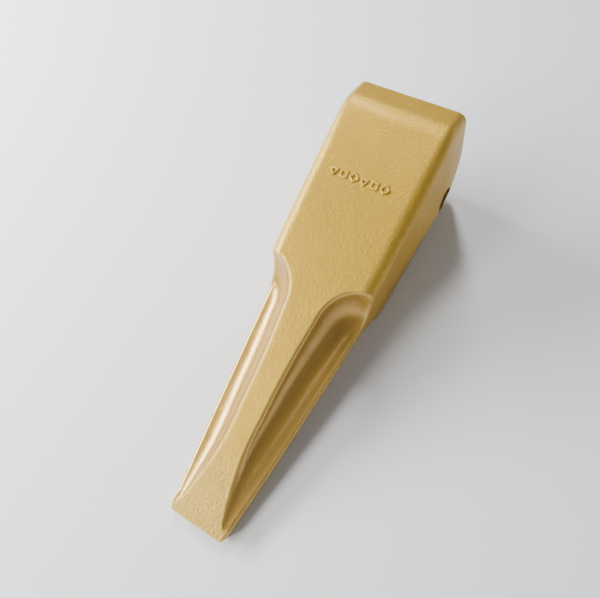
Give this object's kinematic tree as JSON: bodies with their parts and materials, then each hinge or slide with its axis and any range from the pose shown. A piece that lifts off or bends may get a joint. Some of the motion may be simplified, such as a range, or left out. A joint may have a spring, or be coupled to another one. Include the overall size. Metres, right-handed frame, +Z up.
{
  "type": "digging tooth",
  "caption": "Long wedge-shaped cast digging tooth with a box socket, four side flutes, a chisel tip, and a cross pin held by a rubber-bedded spring ring.",
  "frame": {"origin": "middle of the tooth's length and width, on the surface that its lower flat face lies on", "axes": "+X along the tooth towards the chisel tip, +Y along the retaining pin in the direction that it is driven out, +Z up, square to the lower flat face"},
  "size_m": [0.3804, 0.114, 0.129],
  "materials": {
    "gold_paint": "satin golden-yellow paint over a cast surface",
    "pin_steel": "turned and oiled",
    "spring_steel": "blued spring steel",
    "black_rubber": "moulded rubber"
  },
  "bodies": {
    "tooth": {"tooth_casting": "gold_paint"},
    "retainer": {"retainer_washer": "black_rubber", "retainer_spring_ring": "spring_steel"},
    "pin": {"retaining_pin": "pin_steel"}
  },
  "joints": [
    {"name": "retainer_turn", "type": "hinge", "parent": "tooth", "child": "retainer", "pos_m": [-0.13309, 0, 0.0612], "axis": [0, 1, 0], "continuous": true},
    {"name": "pin_drive", "type": "slide", "parent": "retainer", "child": "pin", "axis": [0, 1, 0], "range_m": [0, 0.12], "deforming": ["retainer_spring_ring"]}
  ]
}
